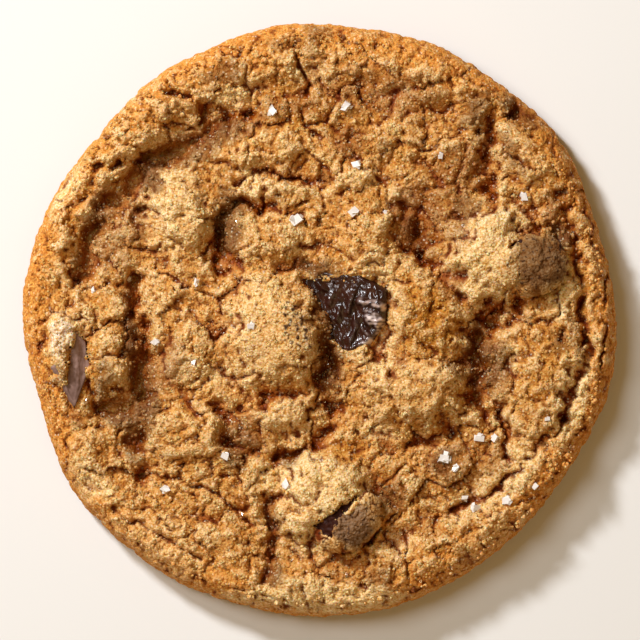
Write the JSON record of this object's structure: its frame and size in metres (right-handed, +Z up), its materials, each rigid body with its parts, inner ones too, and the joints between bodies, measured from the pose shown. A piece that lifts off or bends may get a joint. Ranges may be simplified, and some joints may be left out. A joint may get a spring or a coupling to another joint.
{
  "type": "chocolate chip cookie",
  "caption": "Large round baked cookie with a thick browned rim, a cracked and mounded top, chocolate chips showing through it, coarse salt on top and a flat underside.",
  "frame": {"origin": "on the flat underside, below the middle of the round", "axes": "+Z up, out of the cookie's top; +X to the right and +Y away from the viewer when the top is seen from above"},
  "size_m": [0.0896, 0.0894, 0.0133],
  "materials": {
    "dough": "rough, crumbly golden-brown crust, darker in the creases and redder on the rim, with sugar and salt crystals",
    "melted_chocolate": "wrinkled dark chocolate, glossy",
    "dull_chocolate": "chocolate dulled by a greyish bloom and a thin film of dough"
  },
  "bodies": {
    "root": {"cookie": "dough", "chip_centre": "melted_chocolate", "chip_left": "dull_chocolate", "chip_lower": "dull_chocolate", "chip_right": "dull_chocolate"}
  },
  "joints": []
}
